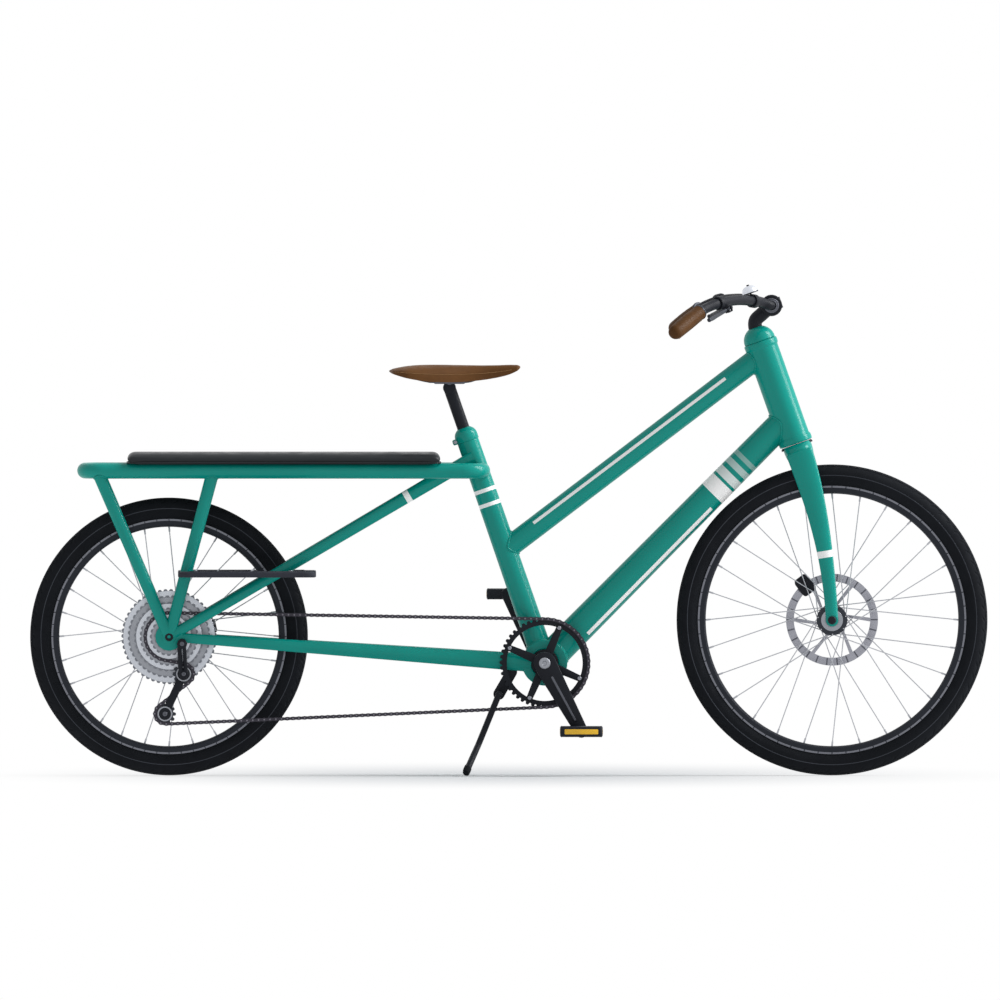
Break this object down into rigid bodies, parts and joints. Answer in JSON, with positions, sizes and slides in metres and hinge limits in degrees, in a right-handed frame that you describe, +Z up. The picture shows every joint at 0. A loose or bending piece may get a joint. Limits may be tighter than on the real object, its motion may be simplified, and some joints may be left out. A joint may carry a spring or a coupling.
{
  "type": "longtail cargo bicycle",
  "caption": "Longtail cargo bicycle with a long padded rear rack, side foot boards, low step frame, swept handlebar, leather saddle, disc brakes, chain drive and a fold-down centre stand.",
  "frame": {"origin": "on the ground, in the bicycle's middle plane, midway between the two tyres' outer ends", "axes": "+X forward, +Y to the rider's left, +Z up"},
  "size_m": [2.1062, 0.6702, 1.0756],
  "materials": {
    "frame_paint": "gloss enamel",
    "black_metal": "satin black",
    "board": "fine grained",
    "tyre": "treaded",
    "rim": "dark anodised",
    "hub": "polished",
    "steel": "ground",
    "chain": "oiled",
    "leather": "smooth, stitched",
    "pad": "matt coated cloth",
    "bell": "bright",
    "pedal": "moulded"
  },
  "bodies": {
    "frame": {"bottom_bracket_shell": "frame_paint", "seat_tube": "frame_paint", "top_tube": "frame_paint", "down_tube": "frame_paint", "head_tube": "frame_paint", "headset_upper": "frame_paint", "seat_clamp": "frame_paint", "rack_deck": "board", "deck_pad": "pad", "rear_axle": "black_metal", "rear_caliper": "black_metal", "stand_bracket": "black_metal", "derailleur_body": "black_metal", "chain": "chain", "rack_rail_right": "frame_paint", "rack_rail_left": "frame_paint", "seatstay_right": "frame_paint", "seatstay_left": "frame_paint", "chainstay_right": "frame_paint", "chainstay_left": "frame_paint", "front_strut_right": "frame_paint", "front_strut_left": "frame_paint", "rear_strut_right": "frame_paint", "rear_strut_left": "frame_paint", "footboard_right": "board", "footboard_left": "board"},
    "seat": {"seatpost": "black_metal", "saddle_rails": "black_metal", "saddle": "leather"},
    "steering": {"fork": "frame_paint", "stem": "black_metal", "handlebar": "black_metal", "grip_right": "leather", "grip_left": "leather", "brake_mount_right": "black_metal", "brake_mount_left": "black_metal", "bell": "bell", "front_axle": "black_metal", "front_caliper": "black_metal"},
    "brake_lever_right_turn": {"brake_lever_right": "steel"},
    "brake_lever_left_turn": {"brake_lever_left": "steel"},
    "bell_lever_turn": {"bell_lever": "black_metal"},
    "front_wheel": {"front_tyre": "tyre", "front_rim": "rim", "front_hub": "hub", "front_rotor": "steel"},
    "rear_wheel": {"rear_tyre": "tyre", "rear_rim": "rim", "rear_hub": "hub", "rear_rotor": "steel"},
    "cassette_set": {"cassette": "hub"},
    "crankset": {"crank_right": "black_metal", "crank_left": "black_metal", "chainring": "black_metal"},
    "pedal_right_turn": {"pedal_right": "pedal"},
    "pedal_left_turn": {"pedal_left": "pedal"},
    "cage": {"derailleur_cage": "black_metal"},
    "guide_pulley_turn": {"guide_pulley": "pedal"},
    "tension_pulley_turn": {"tension_pulley": "pedal"},
    "stand": {"centre_stand": "black_metal"}
  },
  "joints": [
    {"name": "seat_height", "type": "slide", "parent": "frame", "child": "seat", "axis": [-0.3272, 0, 0.9449], "range_m": [-0.06, 0.06]},
    {"name": "steer", "type": "hinge", "parent": "frame", "child": "steering", "pos_m": [0.63229, 0, 0.72976], "axis": [-0.3338, 0, 0.9426], "range_deg": [-70, 70]},
    {"name": "front_wheel_spin", "type": "hinge", "parent": "steering", "child": "front_wheel", "pos_m": [0.71105, 0, 0.342], "axis": [0, 1, 0], "continuous": true},
    {"name": "rear_wheel_spin", "type": "hinge", "parent": "frame", "child": "rear_wheel", "pos_m": [-0.74755, 0, 0.3055], "axis": [0, 1, 0], "continuous": true},
    {"name": "crank_spin", "type": "hinge", "parent": "frame", "child": "crankset", "pos_m": [0.07885, 0, 0.2477], "axis": [0, 1, 0], "continuous": true, "deforming": ["chain"]},
    {"name": "cassette_spin", "type": "hinge", "parent": "frame", "child": "cassette_set", "pos_m": [-0.74755, 0, 0.3055], "axis": [0, 1, 0], "continuous": true},
    {"name": "pedal_right_spin", "type": "hinge", "parent": "crankset", "child": "pedal_right_turn", "pos_m": [0.15971, -0.136, 0.09816], "axis": [0, 1, 0], "continuous": true},
    {"name": "pedal_left_spin", "type": "hinge", "parent": "crankset", "child": "pedal_left_turn", "pos_m": [-0.00201, 0.136, 0.39724], "axis": [0, 1, 0], "continuous": true},
    {"name": "cage_swing", "type": "hinge", "parent": "frame", "child": "cage", "pos_m": [-0.71535, -0.05, 0.2237], "axis": [0, 1, 0], "range_deg": [-12, 12], "stiffness_Nm_per_rad": 2, "deforming": ["chain"]},
    {"name": "guide_pulley_spin", "type": "hinge", "parent": "cage", "child": "guide_pulley_turn", "pos_m": [-0.71535, -0.05, 0.2237], "axis": [0, 1, 0], "continuous": true},
    {"name": "tension_pulley_spin", "type": "hinge", "parent": "cage", "child": "tension_pulley_turn", "pos_m": [-0.75653, -0.05, 0.13588], "axis": [0, 1, 0], "continuous": true},
    {"name": "stand_fold", "type": "hinge", "parent": "frame", "child": "stand", "pos_m": [-0.02155, 0, 0.179], "axis": [0, 1, 0], "range_deg": [0, 78]},
    {"name": "brake_lever_right_pull", "type": "hinge", "parent": "steering", "child": "brake_lever_right_turn", "pos_m": [0.482, -0.1938, 1.0287], "axis": [0.3338, 0, -0.9426], "range_deg": [0, 12], "stiffness_Nm_per_rad": 1},
    {"name": "brake_lever_left_pull", "type": "hinge", "parent": "steering", "child": "brake_lever_left_turn", "pos_m": [0.482, 0.1938, 1.0287], "axis": [-0.3338, 0, 0.9426], "range_deg": [0, 12], "stiffness_Nm_per_rad": 1},
    {"name": "bell_lever_push", "type": "hinge", "parent": "steering", "child": "bell_lever_turn", "pos_m": [0.51523, -0.07488, 1.04828], "axis": [-0.3338, 0, 0.9426], "range_deg": [0, 25], "stiffness_Nm_per_rad": 0.05}
  ],
  "couplings": [
    {"joint": "cassette_spin", "follows": "crank_spin", "ratio": 1.8462},
    {"joint": "guide_pulley_spin", "follows": "crank_spin", "ratio": -4.3636},
    {"joint": "tension_pulley_spin", "follows": "crank_spin", "ratio": 4.3636}
  ]
}
